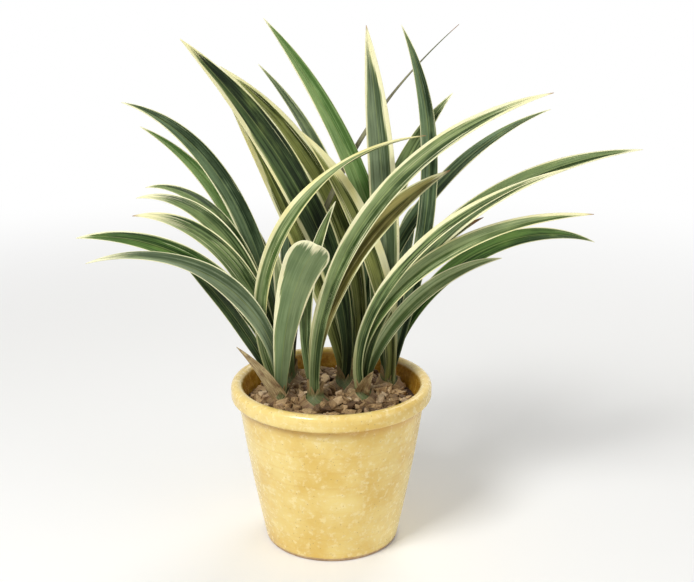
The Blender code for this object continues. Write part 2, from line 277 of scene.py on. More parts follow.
class Value:
    """A socket in a node tree. Sums and products of values add the nodes that work them out."""

    def __init__(self, tree, socket):
        self.tree = tree
        self.socket = socket

    def __rsub__(self, other):
        return self.tree.math("SUBTRACT", other, self)

    __add__ = arithmetic("ADD")
    __sub__ = arithmetic("SUBTRACT")
    __mul__ = arithmetic("MULTIPLY")
    __truediv__ = arithmetic("DIVIDE")
    most = arithmetic("MAXIMUM")

    def remap(self, low, high, to_low=0, to_high=1, kind="SMOOTHSTEP"):
        """Takes the range from low to high to the other range, and holds it at its ends."""
        inputs = {0: self, 1: low, 2: high, 3: to_low, 4: to_high}
        return self.tree.value("MapRange", inputs, interpolation_type=kind)


class Tree:
    """The nodes of a material or of the world. An input takes a Value, a number, or a display colour of three
    values up to 255."""

    def __init__(self, owner, shader="Principled BSDF"):
        owner.use_nodes = True
        self.owner = owner
        self.nodes = owner.node_tree.nodes
        self.links = owner.node_tree.links
        self.shader = self.nodes[shader]

    def put(self, socket, value):
        if isinstance(value, Value):
            self.links.new(value.socket, socket)
        elif isinstance(value, tuple):
            socket.default_value = linear(value)
        else:
            socket.default_value = value

    def add(self, kind, inputs, **settings):
        """A new node. Its inputs are given by place or by name."""
        node = self.nodes.new("ShaderNode" + kind)
        for name, setting in settings.items():
            setattr(node, name, setting)
        for key, value in inputs.items():
            self.put(node.inputs[key], value)
        return node

    def value(self, kind, inputs, output=0, **settings):
        return Value(self, self.add(kind, inputs, **settings).outputs[output])

    def math(self, operation, first, second=0):
        return self.value("Math", {0: first, 1: second}, operation=operation)

    def mix(self, share, first, second, blend="MIX"):
        inputs = {0: share, 6: first, 7: second}
        return self.value("Mix", inputs, 2, data_type="RGBA", blend_type=blend)

    def tint(self, first, second, value, low, high, at_low=0, at_high=1):
        """Mixes the second colour into the first, by shares that follow the value from low to high."""
        return self.mix(value.remap(low, high, at_low, at_high), first, second)

    def dim(self, colour, factor):
        return self.mix(1, colour, self.combine(factor, factor, factor), "MULTIPLY")

    def combine(self, x, y, z):
        return self.value("CombineXYZ", {0: x, 1: y, 2: z})

    def split(self, vector):
        return [Value(self, output) for output in self.add("SeparateXYZ", {0: vector}).outputs]

    def uv(self, name):
        """The two coordinates of a UV map."""
        return self.split(self.value("UVMap", {}, uv_map=name))[:2]

    def place(self):
        return self.value("TexCoord", {}, "Object")

    def noise(self, vector, scale=1, detail=3, roughness=0.55):
        inputs = {"Vector": vector, "Scale": scale, "Detail": detail, "Roughness": roughness}
        return self.value("TexNoise", inputs, "Fac")

    def cells(self, vector, scale):
        """How far a place is from the middle of its cell."""
        return self.value("TexVoronoi", {"Vector": vector, "Scale": scale}, "Distance")

    def bump(self, height, distance, strength):
        inputs = {"Height": height, "Distance": distance, "Strength": strength}
        self.put(self.shader.inputs["Normal"], self.value("Bump", inputs))

    def finish(self, colour, roughness, specular=0.5):
        self.put(self.shader.inputs["Base Color"], colour)
        self.put(self.shader.inputs["Roughness"], roughness)
        self.put(self.shader.inputs["Specular IOR Level"], specular)
        return self.owner

    def seen(self):
        """1 for the rays that see the white surround: camera, glossy and transmission rays."""
        path = self.add("LightPath", {})
        camera, glossy, through = [Value(self, path.outputs[f"Is {kind} Ray"])
                                   for kind in ("Camera", "Glossy", "Transmission")]
        return camera.most(glossy).most(through)

    def whiten(self, share, kind, output):
        """Shows plain white, from a shader node of this kind, in place of the tree's shader."""
        white = self.add(kind, {"Color": (255, 255, 255)})
        blend = self.add("MixShader", {0: share})
        self.links.new(self.shader.outputs[0], blend.inputs[1])
        self.links.new(white.outputs[0], blend.inputs[2])
        self.links.new(blend.outputs[0], self.nodes[output].inputs["Surface"])


def material(name):
    return Tree(bpy.data.materials.new(name))


# ---- leaf materials
# Where a point lies on its blade, in centimetres, and the noises there. share runs from the foot to the tip.
# A lane is a place across the blade that narrows with it, as its veins do.
Field = namedtuple("Field", "across along left right share from_tip lane band stripe vein patch")


def blade_field(tree, spec, seed):
    """The map "run" holds the way across and along the blade, and "edges" the way to each margin."""
    across, along = tree.uv("run")
    left, right = tree.uv("edges")
    if spec.end == "blunt":
        lane = across * 0.4
    else:
        lane = across * (100 * spec.width) / (left + right).most(40 * spec.width)

    def drawn_out(lanes, run, shift, detail=2):
        """Noise with so many cells in a lane, and in a centimetre along the blade."""
        return tree.noise(tree.combine(lane * lanes, along * run, seed + shift), detail=detail)

    return Field(across, along, left, right, along * (0.01 / spec.length), spec.length * 100 - along, lane,
                 drawn_out(5, 0.09, 0), drawn_out(15, 0.1, 3), drawn_out(44, 0.3, 5),
                 drawn_out(0.9, 0.32, 9, detail=3))


def leaf_green(tree, field, look, under):
    """Light and dark stripes, painted light and shade on the two halves, yellower patches and a pale midline.
    """
    shade, light = GREENS[look.green]
    tone = field.band * 0.85 + field.stripe * 0.6 + field.patch * 0.55
    # Painted light and shade: one half of the blade is lighter and the other darker, as a folded blade lit
    # from one side.
    tone = tone + field.lane.remap(-0.25, 0.25, 0.1, -0.1)
    green = tree.tint(shade, light, tone, 0.76, 1.24)
    green = tree.dim(green, field.vein.remap(0.34, 0.66, 0.8, 1.16))
    yellowing = field.patch.remap(0.52, 0.78) * field.share.remap(0.5, 1, 0.03, 0.38)
    green = tree.mix(yellowing, green, YELLOW_GREEN)
    if under:
        green = tree.mix(0.45, green, UNDERSIDE)
    from_middle = tree.math("ABSOLUTE", field.across)
    return tree.tint(green, HALO, from_middle, 0.012, 0.05, 0.25 + 0.6 * look.line, 0)


def margin_shares(tree, field, look, seed):
    """How cream a place is, and how much of the grey-green band beside the cream."""
    cream = halo = 0
    grown = field.share.remap(0.03, 0.45, look.foot_margin, 1)
    ragged = (field.stripe * 0.7 + field.band * 0.5).remap(0.45, 0.75, -1, 1, "LINEAR")
    for side, distance, reach in ((1, field.left, look.left), (2, field.right, look.right)):
        if reach:
            sway = tree.noise(tree.combine(field.along * 0.13, 7.3 * side, seed), detail=1)
            limit = grown * sway.remap(0.3, 0.7, 0.5, 1.25) * (reach / 10)
            over = limit + ragged * min(0.16, reach / 45) - distance
            cream = over.remap(-0.022, 0.03).most(cream)
            halo = over.remap(-0.04 - 0.025 * reach, 0).most(halo)
    return cream, halo


def cream_share(tree, field, look, spec, margin):
    """Adds the cream tip and the cream stripes beside the margins to the share of cream."""
    share = margin
    if look.cream_end:
        ragged = look.cream_end * (0.05 if spec.end == "blunt" else 0.12)
        wander = field.stripe.remap(0.3, 0.7, -1, 1, "LINEAR") * ragged
        share = (look.cream_end / 10 - field.from_tip + wander).remap(-0.4, 0.6).most(share)
    if look.streaks:
        nearest = tree.math("MINIMUM", field.left, field.right)
        bar = nearest.remap(0.05, 0.8, 0.6 - 0.07 * look.streaks, 0.8 - 0.17 * look.streaks, "LINEAR")
        streak = (field.stripe * 0.75 + field.vein * 0.25 - bar).remap(0, 0.035)
        streak = streak * field.share.remap(0.05, 0.35, 0.2, 1)
        share = (streak * (0.45 + 0.4 * look.streaks)).most(share)
    return share


def leaf_material(name, look, spec, seed, under):
    """Parallel veins, cream margins with a grey-green inner band, and thin cream stripes beside them."""
    tree = material(name)
    field = blade_field(tree, spec, seed)
    margin, halo = margin_shares(tree, field, look, seed)
    creamy = cream_share(tree, field, look, spec, margin)
    cream = tree.mix(field.patch.remap(0.3, 0.7, 0.35, 1) * look.yellow, CREAM, CREAM_YELLOW)
    cream = tree.tint(cream, HALO, field.vein, 0.45, 0.75, 0, 0.28)
    cream = tree.tint(cream, HALO, field.share, 0.03, 0.42, 0.7, 0)
    colour = tree.mix(halo * 0.62, leaf_green(tree, field, look, under), HALO)
    colour = tree.mix(creamy, colour, cream)
    if look.specks:
        dots = tree.cells(tree.combine(field.across * 2.2, field.along * 1.5, seed), 4)
        dots = dots.remap(0.08, 0.24, 0.8 * look.specks, 0) * field.patch.remap(0.42, 0.58)
        colour = tree.mix(dots * creamy, colour, TIP_BROWN)
    if look.dry_end:
        edge = look.dry_end / 10
        colour = tree.tint(colour, TIP_BROWN, field.from_tip + field.stripe * 0.5, edge, edge + 0.8, 1, 0)
    # Painted shade: each blade is darker towards its foot, where the crowded leaves shade one another.
    colour = tree.dim(colour, field.share.remap(0, 0.32, 0.62, 1))
    tree.bump(field.vein * 0.6 + field.stripe * 0.9, 0.0004, 0.6)
    low, high, specular = (0.52, 0.66, 0.1) if under else (0.36, 0.5, 0.18)
    return tree.finish(colour, field.patch.remap(0.3, 0.7, low, high), specular)


def sheath_material():
    """Dry papery bract: straw to brown, with long fibres and darker blotches."""
    tree = material("dry_sheath_paper")
    across, along = tree.uv("run")
    fibre = tree.noise(tree.combine(across * 22, along * 0.8, 3), detail=4)
    blotch = tree.noise(tree.combine(across * 2, along * 1.1, 8), detail=4)
    colour = tree.tint((134, 104, 66), (206, 190, 142), fibre, 0.3, 0.7)
    colour = tree.tint(colour, (98, 66, 42), blotch, 0.48, 0.7, 0, 0.75)
    tree.bump(fibre, 0.0004, 0.8)
    return tree.finish(colour, fibre.remap(0.3, 0.7, 0.62, 0.82))


# ---- mesh tools
def add_object(name, data, *finishes):
    obj = bpy.data.objects.new(name, data)
    bpy.context.scene.collection.objects.link(obj)
    for finish in finishes:
        data.materials.append(finish)
    return obj


def mesh_of(name, shape):
    """The bmesh as a smooth mesh. The bmesh is freed."""
    for face in shape.faces:
        face.smooth = True
    mesh = bpy.data.meshes.new(name)
    shape.to_mesh(mesh)
    shape.free()
    return mesh


def evaluated_mesh(obj):
    """The object's mesh with its modifiers applied. The object is removed."""
    bpy.context.view_layer.update()
    graph = bpy.context.evaluated_depsgraph_get()
    mesh = bpy.data.meshes.new_from_object(obj.evaluated_get(graph))
    bpy.data.objects.remove(obj)
    return mesh


def skin(shape, rings):
    """Adds faces between the rings of vertices, one pair after another, and then the two end faces."""
    faces = []
    for low, high in zip(rings, rings[1:]):
        for index in range(len(low)):
            after = (index + 1) % len(low)
            faces.append(shape.faces.new((low[index], low[after], high[after], high[index])))
    faces.append(shape.faces.new(rings[0][::-1]))
    faces.append(shape.faces.new(rings[-1]))
    return faces


def ring_marks(places, along, half):
    """The marks of points across a strip of this half width, in centimetres."""
    return [(x * 100, along * 100, (x + half) * 100, (half - x) * 100) for x in places]


def uv_maps(shape):
    layers = shape.loops.layers.uv
    return [layers.get(name) or layers.new(name) for name in ("run", "edges")]


def loft(shape, rings, marks, under=()):
    """Adds a closed skin through the rings of points. marks holds each point's place on both UV maps, and the
    faces at the ring places in `under` get the second material."""
    run, edges = uv_maps(shape)
    made = [[shape.verts.new(point) for point in ring] for ring in rings]
    marked = {}
    for verts, row in zip(made, marks):
        marked.update(zip(verts, row))
    faces = skin(shape, made)
    for face in faces:
        for loop in face.loops:
            mark = marked[loop.vert]
            loop[run].uv = mark[:2]
            loop[edges].uv = mark[2:]
    for place, face in enumerate(faces[:-2]):
        if place % len(made[0]) in under:
            face.material_index = 1


def keep(name, mesh, finishes, node=None, place=(0, 0, 0)):
    """Adds a finished piece under the root body, and hides the CAD node that it stands for."""
    obj = add_object(name, mesh, *finishes)
    obj.location = place
    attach(obj, "root")
    if node:
        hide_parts(node)


# ---- where the parts are
def inner_radius(z):
    share = z / (POT_HEIGHT - RIM_DEPTH)
    return FOOT_RADIUS + (NECK_RADIUS - FOOT_RADIUS) * min(share, 1) - WALL


def mix_height(radius):
    edge = inner_radius(MIX_LEVEL)
    return MIX_LEVEL + MIX_CROWN * (1 - (radius / edge) ** 2)


def bulb_centre(growth):
    return Vector((growth.x, growth.y, mix_height(math.hypot(growth.x, growth.y)) - BULB_SINK))


def foot_of(growth, place, spec):
    """Where a leaf stands on its pseudobulb, `place` metres from the bulb's middle along the fan."""
    nearest = max(0, abs(place) - LEAF_THICKNESS / 2)
    tilt = math.radians(abs(spec.lean_foot)) * abs(math.sin(math.radians(spec.way - growth.fan)))
    height = 0
    for step in range(SEAT_STEPS + 1):
        along = FOOT_WIDTH / 2 * step / SEAT_STEPS
        reach = math.hypot(nearest, along * math.cos(tilt)) / BULB_RADIUS
        bulb_top = BULB_HALF_HEIGHT * math.sqrt(max(0, 1 - reach ** 2))
        height = max(height, bulb_top + along * math.sin(tilt))
    return bulb_centre(growth) + bearing(growth.fan) * place + UP * (height + GAP)


# ---- leaves
BLADE_STATIONS = 72
BLADE_COLUMNS = 16
PATH_STEPS = 3
STATION_BIAS = {"point": 1.25, "blunt": 1.6, "sheath": 1.1}
TIP_WIDTH = 0.0005
MIDRIB_THICKNESS = 0.0013
EDGE_THICKNESS = 0.00035
FOOT_FOLD = math.tan(math.radians(32))  # a leaf is folded more at its foot than along its blade
UNFOLDS_BY = 0.42  # share of the length over which that fold opens
BLADE_FOLD = math.tan(math.radians(25))
KEEL = 0.0005  # depth of the groove above the midrib, and of the keel below it
WAVE = 0.08  # edge waves, as a share of half the width
WAVES = 2.3  # along the blade
EDGE_CROWDING = 0.65  # 0 spaces the columns evenly, 1 crowds them at the margins


def blade_width(spec, share):
    if spec.end == "sheath":
        return TIP_WIDTH + (spec.width - TIP_WIDTH) * (1 - share ** 1.6)
    if spec.end == "blunt":
        past = max(0, (share - 1 + BLUNT_SHARE) / BLUNT_SHARE)
        grown = FOOT_WIDTH + (spec.width - FOOT_WIDTH) * share
        return max(TIP_WIDTH, grown * math.sqrt(max(0, 1 - past * past)))
    grown = FOOT_WIDTH + (spec.width - FOOT_WIDTH) * smooth_step(share / FULL_WIDTH_AT)
    past = max(0, (share - FULL_WIDTH_AT) / (1 - FULL_WIDTH_AT))
    return TIP_WIDTH + (grown - TIP_WIDTH) * (1 - past ** 2.8)


def tangent_at(spec, share):
    lean = math.radians(spec.lean_foot + (spec.lean_tip - spec.lean_foot) * share ** spec.droop)
    return bearing(spec.way) * math.sin(lean) + UP * math.cos(lean)


def blade_axes(spec, front, share):
    """Unit vectors across the blade and out of its upper face."""
    tangent = tangent_at(spec, share)
    rise = math.radians(90 * spec.roll) * smooth_step(share)
    facing = front * (spec.side * math.cos(rise)) + UP * math.sin(rise)
    normal = (facing - tangent * facing.dot(tangent)).normalized()
    across = tangent.cross(normal)
    turn = math.radians(spec.twist) * share
    return (across * math.cos(turn) + normal * math.sin(turn),
            normal * math.cos(turn) - across * math.sin(turn))


def midrib(spec, shares):
    points = [Vector((0, 0, 0))]
    for start, end in zip(shares, shares[1:]):
        step = (end - start) / PATH_STEPS
        point = points[-1].copy()
        for part in range(PATH_STEPS):
            point += tangent_at(spec, start + (part + 0.5) * step) * (step * spec.length)
        points.append(point)
    return points


def blade_section(spec, share, seed):
    """(across, up) of the upper face's points and of the lower face's, from the left margin to the right."""
    half = blade_width(spec, share) / 2
    folded = spec.side > 0 and spec.end != "sheath"
    grown = smooth_step(share / (UNFOLDS_BY if folded else FOLD_GROWS_BY))
    foot_fold = FOOT_FOLD if folded else 0
    full_fold = FOLD if spec.end == "blunt" else BLADE_FOLD
    fold = foot_fold + (full_fold - foot_fold) * grown
    middle = min(1, half / 0.006)
    upper, lower = [], []
    for column in range(BLADE_COLUMNS + 1):
        even = 2 * column / BLADE_COLUMNS - 1
        u = EDGE_CROWDING * -math.cos(math.pi * column / BLADE_COLUMNS) + (1 - EDGE_CROWDING) * even
        wave = math.sin(math.tau * (WAVES * share + 0.17 * seed) + (1.9 if u > 0 else 0) + 0.7 * seed)
        rise = fold * (math.sqrt(u * u + 0.006) - math.sqrt(0.006)) - 0.1 * fold * u ** 4
        height = half * (rise + WAVE * wave * u * u * smooth_step(share / 0.3))
        groove = KEEL * middle * math.exp(-(u / 0.1) ** 2)
        thick = EDGE_THICKNESS + (MIDRIB_THICKNESS - EDGE_THICKNESS) * (1 - abs(u) ** 1.3)
        thick *= 0.35 + 0.65 * middle
        upper.append((half * u, height + thick / 2 - groove))
        lower.append((half * u, height - thick / 2 - groove))
    return half, upper, lower


def blade_mesh(name, spec, front, seed):
    """A closed blade: its ring of points runs over the upper face and back under the lower one."""
    bias = STATION_BIAS[spec.end]
    shares = [1 - (1 - index / BLADE_STATIONS) ** bias for index in range(BLADE_STATIONS + 1)]
    rings, marks = [], []
    for share, point in zip(shares, midrib(spec, shares)):
        across, up = blade_axes(spec, front, share)
        half, upper, lower = blade_section(spec, share, seed)
        section = upper + lower[::-1]
        rings.append([point + across * x + up * height for x, height in section])
        marks.append(ring_marks([x for x, _ in section], share * spec.length, half))
    shape = bmesh.new()
    loft(shape, rings, marks, under=range(BLADE_COLUMNS + 1, len(rings[0]) - 1))
    return mesh_of(name, shape)


def build_blade(node, growth, place, spec, look, seed, sheath_paper):
    mesh = blade_mesh(node, spec, -bearing(growth.fan), seed)
    foot = foot_of(growth, place, spec)
    if look:
        finishes = [leaf_material(f"{node}_{side}", look, spec, seed, side == "underside")
                    for side in ("upper", "underside")]
        keep(f"{node}_blade", mesh, finishes, node, foot)
    else:
        keep(f"{node}_paper", mesh, [sheath_paper] * 2, node, foot)


def build_fans():
    sheath_paper = sheath_material()
    seed = 0
    for growth in GROWTHS:
        looks = enumerate(STYLES[growth.name], 1)
        for index, spec in enumerate(growth.leaves):
            seed += 1
            place = (index - (len(growth.leaves) - 1) / 2) * LEAF_PITCH
            number, look = (None, None) if spec.end == "sheath" else next(looks)
            node = f"{growth.name}_leaf_{number}" if look else f"{growth.name}_sheath"
            build_blade(node, growth, place, spec, look, seed, sheath_paper)


# ---- pseudobulbs and their bracts
BULB_SEGMENTS = 72
BULB_RINGS = 36
BULB_RIBS = 11
RIB_DEPTH = 0.025  # as a share of the bulb's radius
ROOT_POINTS = 14
ROOT_SIDES = 12
REMESH = 0.0009
BRACT_HEIGHTS = (0.009, 0.016, 0.022)  # over the mix, from the outermost pair to the innermost
BRACT_FOOT = -0.004  # a bract starts this far under the mix
BRACT_REACH = math.radians(100)
BRACT_TAPER = 2.6  # higher ends the bract in a blunter point
BASE_RADIUS = 0.013  # of the bundle of leaf bases at the mix
NECK_HALF = 0.005  # half its width across the fan above the bulb
NECK_CLOSES_BY = 0.011  # over the mix
BRACT_STATIONS = 16
BRACT_COLUMNS = 18
BRACT_THICKNESS = 0.0005
BRACT_LAYER = 0.00055  # from one pair to the next
BRACT_PEEL = (0.0032, 0.0008, 0.0008)  # how far the end of a bract may stand off, for each pair
BRACT_FRAY = 0.002
BRACT_KEEL = 0.0012


def bulb_material():
    """Green living skin with lengthwise ribs, browner towards the mix, and pale corky roots."""
    tree = material("pseudobulb_skin")
    x, y, z = tree.split(tree.place())
    around = tree.math("ARCTAN2", y, x)
    fibre = tree.noise(tree.combine(around * 9, z * 30, 0), detail=4)
    blotch = tree.noise(tree.place(), 130, detail=4)
    colour = tree.tint((70, 86, 40), (128, 140, 76), fibre, 0.3, 0.7)
    brown = z.remap(0.004, 0.014, 0.75, 0) + blotch.remap(0.5, 0.75, 0, 0.5)
    colour = tree.mix(brown, colour, (112, 84, 50))
    colour = tree.tint(colour, (176, 160, 122), z, -0.016, -0.011, 1, 0)
    tree.bump(fibre + blotch * 0.5, 0.0006, 0.7)
    return tree.finish(colour, blotch.remap(0.3, 0.7, 0.45, 0.7))


def bract_material(name, dry):
    """Old leaf base with long fibres: papery straw and brown, or green that dries towards its end."""
    tree = material(name)
    across, along = tree.uv("run")
    left, right = tree.uv("edges")
    rim = tree.math("MINIMUM", left, right)
    fibre = tree.noise(tree.combine(across * 18, along * 0.7, 5), detail=4)
    blotch = tree.noise(tree.combine(across * 1.6, along * 1.2, 2), detail=4)
    if dry:
        colour = tree.tint((104, 78, 50), (164, 138, 94), fibre, 0.3, 0.7)
        colour = tree.tint(colour, (92, 58, 42), blotch, 0.45, 0.7, 0, 0.7)
        colour = tree.tint(colour, (190, 168, 124), rim, 0, 0.14, 0.45, 0)
    else:
        colour = tree.tint((58, 70, 34), (104, 114, 66), fibre, 0.3, 0.7)
        colour = tree.tint(colour, (146, 126, 84), rim, 0, 0.14, 0.35, 0)
        colour = tree.tint(colour, (142, 114, 72), along + blotch * 0.8, 1.5, 2.5, 0, 0.85)
        colour = tree.tint(colour, (112, 78, 52), blotch, 0.5, 0.7, 0, 0.6)
    colour = tree.tint(colour, (84, 58, 42), along, 0.2, 0.9, 0.6, 0)
    tree.bump(fibre, 0.0005, 0.8)
    return tree.finish(colour, blotch.remap(0.3, 0.7, 0.52, 0.78))


def root_points(way):
    step = ROOT_LENGTH / (ROOT_POINTS - 1)
    point = bearing(way) * ROOT_START - UP * (BULB_HALF_HEIGHT / 2)
    points = []
    for index in range(ROOT_POINTS):
        points.append(point)
        dip = math.radians(ROOT_DIPS[0] + (ROOT_DIPS[1] - ROOT_DIPS[0]) * index / (ROOT_POINTS - 1))
        point = point + (bearing(way) * math.cos(dip) - UP * math.sin(dip)) * step
    return points


def add_root(shape, way):
    """Adds a closed round tube that thins towards its end."""
    points = root_points(way)
    rings = []
    for index, point in enumerate(points):
        ahead = points[min(index + 1, ROOT_POINTS - 1)] - points[max(index - 1, 0)]
        turn = ahead.to_track_quat("Z", "Y")
        radius = ROOT_RADIUS * (1 - 0.25 * index / (ROOT_POINTS - 1))
        rings.append([shape.verts.new(point + turn @ (bearing(360 * side / ROOT_SIDES) * radius))
                      for side in range(ROOT_SIDES)])
    skin(shape, rings)


def build_bulb(growth, finish):
    """A ribbed ovoid with its roots, skinned as one body."""
    shape = bmesh.new()
    bmesh.ops.create_uvsphere(shape, u_segments=BULB_SEGMENTS, v_segments=BULB_RINGS, radius=1)
    for vert in shape.verts:
        around = math.atan2(vert.co.y, vert.co.x)
        rib = 1 + RIB_DEPTH * (math.cos(BULB_RIBS * around + growth.x * 900) - 1)
        vert.co = Vector((vert.co.x * BULB_RADIUS * rib, vert.co.y * BULB_RADIUS * rib,
                          vert.co.z * BULB_HALF_HEIGHT))
    for way in growth.roots:
        add_root(shape, way)
    rough = add_object("rough_bulb", mesh_of("rough_bulb", shape))
    remesh = rough.modifiers.new("skin", "REMESH")
    remesh.mode = "VOXEL"
    remesh.voxel_size = REMESH
    remesh.use_smooth_shade = True
    node = f"{growth.name}_pseudobulb"
    keep(f"{node}_skin", evaluated_mesh(rough), [finish], node, bulb_centre(growth))


def neck_section(growth, rise):
    """Half widths (across the fan, along it) of the bundle of leaf bases at a height over the mix."""
    depth = max(0.005, (len(growth.leaves) - 1) / 2 * LEAF_PITCH + 0.0012)
    closed = smooth_step((rise + 0.001) / NECK_CLOSES_BY)
    return BASE_RADIUS + (NECK_HALF - BASE_RADIUS) * closed, BASE_RADIUS + (depth - BASE_RADIUS) * closed


def bract(shape, growth, number, chance):
    """One old leaf base that wraps half of the neck and ends in a point beside the leaves."""
    layer = number // 2
    facing = math.pi / 2 * (1 if number % 2 else -1)
    height = BRACT_HEIGHTS[layer] + chance.uniform(-0.002, 0.002)
    gap = GAP + BRACT_LAYER * (len(BRACT_HEIGHTS) - 1 - layer)
    peel = chance.uniform(0, 1) * BRACT_PEEL[layer]
    lean = chance.uniform(-0.25, 0.25)
    turned = Matrix.Rotation(math.radians(growth.fan), 3, "Z")
    rings, marks = [], []
    for station in range(BRACT_STATIONS + 1):
        share = station / BRACT_STATIONS
        rise = BRACT_FOOT + (height - BRACT_FOOT) * share
        wide = BRACT_REACH * max(0.02, 1 - max(0, (share - 0.25) / 0.75) ** BRACT_TAPER)
        outer, inside, places = [], [], []
        for column in range(BRACT_COLUMNS + 1):
            u = 2 * column / BRACT_COLUMNS - 1
            z = rise + noise.noise(Vector((u * 3.1, number * 2.7, growth.x * 70))) * BRACT_FRAY * share
            across, deep = neck_section(growth, z)
            angle = facing + lean * share + u * wide
            keel = BRACT_KEEL * math.exp(-(u / 0.12) ** 2) * smooth_step(share * 2)
            out = gap + peel * share ** 3 + keel
            point = Vector(((deep + out) * math.cos(angle), (across + out) * math.sin(angle), z))
            half_skin = bearing(math.degrees(angle)) * (BRACT_THICKNESS / 2)
            outer.append(turned @ (point + half_skin))
            inside.append(turned @ (point - half_skin))
            places.append(u * wide * across)
        rings.append(outer + inside[::-1])
        side = wide * neck_section(growth, rise)[0]
        marks.append(ring_marks(places + places[::-1], rise - BRACT_FOOT, side))
    loft(shape, rings, marks)


def build_bracts(growth, finishes):
    """The outer old leaf bases are dry, and the inner ones are green."""
    chance = random.Random(growth.name)
    foot = bulb_centre(growth) + UP * BULB_SINK
    layers = (("dry", "dry_sheath", (0, 1)), ("green", "leaf_green", (2, 3, 4, 5)))
    for (kind, slot, numbers), finish in zip(layers, finishes):
        shape = bmesh.new()
        for number in numbers:
            bract(shape, growth, number, chance)
        keep(f"{growth.name}_{kind}_bracts", mesh_of("bracts", shape), [finish], place=foot)


# ---- pot
POT_TURN = 144
RIM_ROLL_STEPS = 18
RIM_LIP = 0.004  # radius of the rim's lower edge
WALL_STEPS = 10
BELLY_STEPS = 24
BELLY = 0.0012  # the outside wall swells by this
BARE_FOOT = 0.0035  # the lowest part of the pot's outside carries no glaze


def arc(out, up, radius, start, end, steps):
    """Profile points round a centre, between two turns in degrees: 0 is outwards, and 90 is up."""
    turns = [math.radians(start + (end - start) * step / steps) for step in range(steps + 1)]
    return [(out + radius * math.cos(turn), up + radius * math.sin(turn)) for turn in turns]


def pot_profile():
    """(radius, height) points from the middle of the inside floor, over the rim, to that of the foot."""
    low = POT_HEIGHT - RIM_DEPTH
    roll = RIM_WIDTH / 2
    floor_edge = BASE_THICKNESS + BASE_FILLET
    points = [(0, BASE_THICKNESS)]
    points += arc(inner_radius(floor_edge) - BASE_FILLET, floor_edge, BASE_FILLET, -90, 0, 6)
    for step in range(1, WALL_STEPS + 1):
        z = floor_edge + (low - floor_edge) * step / WALL_STEPS
        points.append((inner_radius(z), z))
    points += arc(RIM_RADIUS - roll, POT_HEIGHT - roll, roll, 180, 0, RIM_ROLL_STEPS)
    points += arc(RIM_RADIUS - RIM_LIP, low + RIM_LIP + 0.0006, RIM_LIP, 0, -90, 8)[1:]
    points.append((NECK_RADIUS + 0.0008, low + 0.0002))
    for step in range(1, BELLY_STEPS + 1):
        share = step / BELLY_STEPS
        radius = NECK_RADIUS + (FOOT_RADIUS - NECK_RADIUS) * share + BELLY * math.sin(math.pi * share)
        points.append((radius, (low - 0.0012) * (1 - share) + 0.0022 * share))
    return points + [(FOOT_RADIUS - 0.0006, 0.0008), (FOOT_RADIUS - 0.0022, 0), (0, 0)]


def turned_mesh(name, profile, turn):
    """A closed body turned about Z, with a single point where the profile meets the axis."""
    shape = bmesh.new()
    rings = []
    for radius, z in profile:
        if radius == 0:
            rings.append([shape.verts.new((0, 0, z))] * turn)
        else:
            rings.append([shape.verts.new(bearing(360 * step / turn) * radius + UP * z)
                          for step in range(turn)])
    for low, high in zip(rings, rings[1:]):
        for step in range(turn):
            after = (step + 1) % turn
            corners = [low[step], low[after], high[after], high[step]]
            shape.faces.new(list(dict.fromkeys(corners)))
    bmesh.ops.recalc_face_normals(shape, faces=shape.faces)
    return mesh_of(name, shape)


def glaze_material():
    """Thick honey-yellow glaze: deeper where it pools, a little mottled, over a buff foot."""
    tree = material("honey_glaze")
    place = tree.place()
    x, y, z = tree.split(place)
    radius = tree.math("SQRT", x * x + y * y)
    rim_foot = POT_HEIGHT - RIM_DEPTH
    cloud = tree.noise(place, 26, detail=5, roughness=0.6)
    mottle = tree.noise(place, 190, detail=4, roughness=0.65)
    rings = tree.noise(tree.combine(0, 0, z * 330 + cloud * 1.5), detail=2)
    colour = tree.tint((226, 190, 96), (243, 219, 140), cloud, 0.3, 0.7)
    colour = tree.tint(colour, (250, 236, 186), mottle, 0.45, 0.75, 0, 0.55)
    colour = tree.tint(colour, (214, 168, 70), rings, 0.5, 0.75, 0, 0.35)
    pool = z.remap(rim_foot - 0.01, rim_foot, 0, 0.55) * z.remap(rim_foot, rim_foot + 0.003, 1, 0)
    colour = tree.mix(pool, colour, (188, 132, 44))
    # Painted shade: the inside wall below the rim is a darker golden brown, for the shade inside the pot.
    wall = z.remap(0, rim_foot, FOOT_RADIUS - WALL / 2, NECK_RADIUS - WALL / 2, "LINEAR")
    inside = (radius - wall).remap(0, 0.001, 1, 0) * z.remap(POT_HEIGHT - 0.001, POT_HEIGHT - 0.006)
    colour = tree.mix(inside, colour, tree.tint((176, 122, 34), (206, 158, 58), mottle, 0.35, 0.65))
    colour = tree.tint(colour, (150, 104, 48), tree.cells(place, 210), 0.05, 0.16, 0.5, 0)
    bare = (z + cloud * 0.002).remap(BARE_FOOT, BARE_FOOT + 0.0012, 1, 0)
    colour = tree.mix(bare, colour, tree.tint((176, 142, 104), (204, 174, 134), mottle, 0.3, 0.7))
    tree.bump(rings * 0.6 + mottle * 0.25 + cloud * 0.8, 0.0007, 0.5)
    gloss = mottle.remap(0.3, 0.7, 0.16, 0.3)
    return tree.finish(colour, gloss + (0.8 - gloss) * bare)


